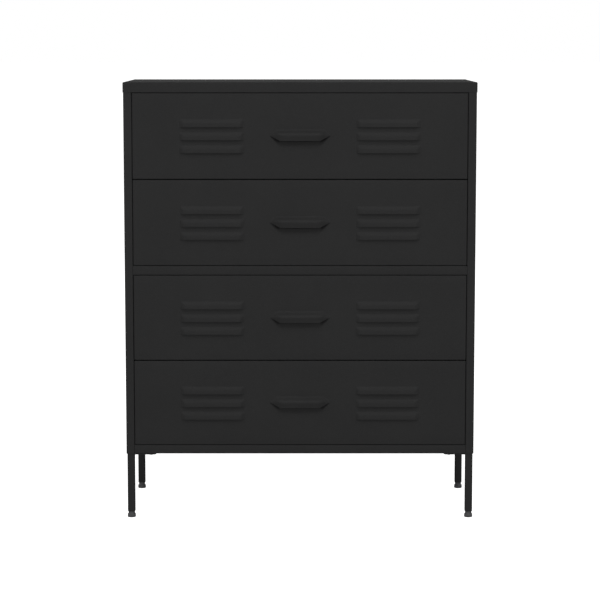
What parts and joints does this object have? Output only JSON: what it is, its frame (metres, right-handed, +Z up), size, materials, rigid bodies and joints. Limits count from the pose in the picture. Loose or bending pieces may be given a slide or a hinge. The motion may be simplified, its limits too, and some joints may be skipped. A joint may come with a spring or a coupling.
{
  "type": "tall chest of drawers",
  "caption": "Tall steel chest with inset louvred drawer fronts, pressed hooded pulls, folded lid and slim square legs on levelling feet.",
  "frame": {"origin": "on the floor, at the middle of the footprint", "axes": "+Z up, -Y out of the drawer fronts, +X to the right as seen from the front"},
  "size_m": [0.8, 0.35, 1],
  "materials": {
    "black_powder_coat": "fine satin powder coat",
    "zinc_steel": "zinc plated",
    "grey_foot_plastic": "moulded, fine grain",
    "black_insert_plastic": "moulded",
    "white_nylon": "moulded nylon"
  },
  "bodies": {
    "cabinet": {"lid": "black_powder_coat", "side_panel_left": "black_powder_coat", "side_panel_right": "black_powder_coat", "back_panel": "black_powder_coat", "bottom_panel": "black_powder_coat", "middle_rail": "black_powder_coat", "leg_front_left": "black_powder_coat", "leg_front_right": "black_powder_coat", "leg_rear_left": "black_powder_coat", "leg_rear_right": "black_powder_coat", "leg_inserts": "black_insert_plastic", "cabinet_runners_1": "zinc_steel", "cabinet_runners_2": "zinc_steel", "cabinet_runners_3": "zinc_steel", "cabinet_runners_4": "zinc_steel", "cabinet_fasteners": "zinc_steel"},
    "drawer_1": {"drawer_front_1": "black_powder_coat", "drawer_side_left_1": "black_powder_coat", "drawer_side_right_1": "black_powder_coat", "drawer_back_1": "black_powder_coat", "drawer_bottom_1": "black_powder_coat", "drawer_runners_1": "zinc_steel", "drawer_fasteners_1": "zinc_steel"},
    "drawer_2": {"drawer_front_2": "black_powder_coat", "drawer_side_left_2": "black_powder_coat", "drawer_side_right_2": "black_powder_coat", "drawer_back_2": "black_powder_coat", "drawer_bottom_2": "black_powder_coat", "drawer_runners_2": "zinc_steel", "drawer_fasteners_2": "zinc_steel"},
    "drawer_3": {"drawer_front_3": "black_powder_coat", "drawer_side_left_3": "black_powder_coat", "drawer_side_right_3": "black_powder_coat", "drawer_back_3": "black_powder_coat", "drawer_bottom_3": "black_powder_coat", "drawer_runners_3": "zinc_steel", "drawer_fasteners_3": "zinc_steel"},
    "drawer_4": {"drawer_front_4": "black_powder_coat", "drawer_side_left_4": "black_powder_coat", "drawer_side_right_4": "black_powder_coat", "drawer_back_4": "black_powder_coat", "drawer_bottom_4": "black_powder_coat", "drawer_runners_4": "zinc_steel", "drawer_fasteners_4": "zinc_steel"},
    "front_rollers_1": {"front_rollers_1": "white_nylon"},
    "front_rollers_2": {"front_rollers_2": "white_nylon"},
    "front_rollers_3": {"front_rollers_3": "white_nylon"},
    "front_rollers_4": {"front_rollers_4": "white_nylon"},
    "rear_rollers_1": {"rear_rollers_1": "white_nylon"},
    "rear_rollers_2": {"rear_rollers_2": "white_nylon"},
    "rear_rollers_3": {"rear_rollers_3": "white_nylon"},
    "rear_rollers_4": {"rear_rollers_4": "white_nylon"},
    "foot_front_left": {"foot_front_left": "grey_foot_plastic", "foot_stem_front_left": "zinc_steel"},
    "foot_front_right": {"foot_front_right": "grey_foot_plastic", "foot_stem_front_right": "zinc_steel"},
    "foot_rear_left": {"foot_rear_left": "grey_foot_plastic", "foot_stem_rear_left": "zinc_steel"},
    "foot_rear_right": {"foot_rear_right": "grey_foot_plastic", "foot_stem_rear_right": "zinc_steel"}
  },
  "joints": [
    {"name": "drawer_slide_1", "type": "slide", "parent": "cabinet", "child": "drawer_1", "axis": [0, -1, 0], "range_m": [0, 0.236]},
    {"name": "drawer_slide_2", "type": "slide", "parent": "cabinet", "child": "drawer_2", "axis": [0, -1, 0], "range_m": [0, 0.236]},
    {"name": "drawer_slide_3", "type": "slide", "parent": "cabinet", "child": "drawer_3", "axis": [0, -1, 0], "range_m": [0, 0.236]},
    {"name": "drawer_slide_4", "type": "slide", "parent": "cabinet", "child": "drawer_4", "axis": [0, -1, 0], "range_m": [0, 0.236]},
    {"name": "front_roller_spin_1", "type": "hinge", "parent": "cabinet", "child": "front_rollers_1", "pos_m": [0, -0.119, 0.8225], "axis": [1, 0, 0], "continuous": true},
    {"name": "rear_roller_spin_1", "type": "hinge", "parent": "drawer_1", "child": "rear_rollers_1", "pos_m": [0, 0.14, 0.8208], "axis": [1, 0, 0], "continuous": true},
    {"name": "front_roller_spin_2", "type": "hinge", "parent": "cabinet", "child": "front_rollers_2", "pos_m": [0, -0.119, 0.626], "axis": [1, 0, 0], "continuous": true},
    {"name": "rear_roller_spin_2", "type": "hinge", "parent": "drawer_2", "child": "rear_rollers_2", "pos_m": [0, 0.14, 0.6243], "axis": [1, 0, 0], "continuous": true},
    {"name": "front_roller_spin_3", "type": "hinge", "parent": "cabinet", "child": "front_rollers_3", "pos_m": [0, -0.119, 0.4085], "axis": [1, 0, 0], "continuous": true},
    {"name": "rear_roller_spin_3", "type": "hinge", "parent": "drawer_3", "child": "rear_rollers_3", "pos_m": [0, 0.14, 0.4068], "axis": [1, 0, 0], "continuous": true},
    {"name": "front_roller_spin_4", "type": "hinge", "parent": "cabinet", "child": "front_rollers_4", "pos_m": [0, -0.119, 0.212], "axis": [1, 0, 0], "continuous": true},
    {"name": "rear_roller_spin_4", "type": "hinge", "parent": "drawer_4", "child": "rear_rollers_4", "pos_m": [0, 0.14, 0.2103], "axis": [1, 0, 0], "continuous": true},
    {"name": "foot_height_front_left", "type": "slide", "parent": "cabinet", "child": "foot_front_left", "axis": [0, 0, -1], "range_m": [0, 0.01]},
    {"name": "foot_height_front_right", "type": "slide", "parent": "cabinet", "child": "foot_front_right", "axis": [0, 0, -1], "range_m": [0, 0.01]},
    {"name": "foot_height_rear_left", "type": "slide", "parent": "cabinet", "child": "foot_rear_left", "axis": [0, 0, -1], "range_m": [0, 0.01]},
    {"name": "foot_height_rear_right", "type": "slide", "parent": "cabinet", "child": "foot_rear_right", "axis": [0, 0, -1], "range_m": [0, 0.01]}
  ],
  "couplings": [
    {"joint": "front_roller_spin_1", "follows": "drawer_slide_1", "rad_per_m": 100},
    {"joint": "rear_roller_spin_1", "follows": "drawer_slide_1", "rad_per_m": 100},
    {"joint": "front_roller_spin_2", "follows": "drawer_slide_2", "rad_per_m": 100},
    {"joint": "rear_roller_spin_2", "follows": "drawer_slide_2", "rad_per_m": 100},
    {"joint": "front_roller_spin_3", "follows": "drawer_slide_3", "rad_per_m": 100},
    {"joint": "rear_roller_spin_3", "follows": "drawer_slide_3", "rad_per_m": 100},
    {"joint": "front_roller_spin_4", "follows": "drawer_slide_4", "rad_per_m": 100},
    {"joint": "rear_roller_spin_4", "follows": "drawer_slide_4", "rad_per_m": 100}
  ]
}
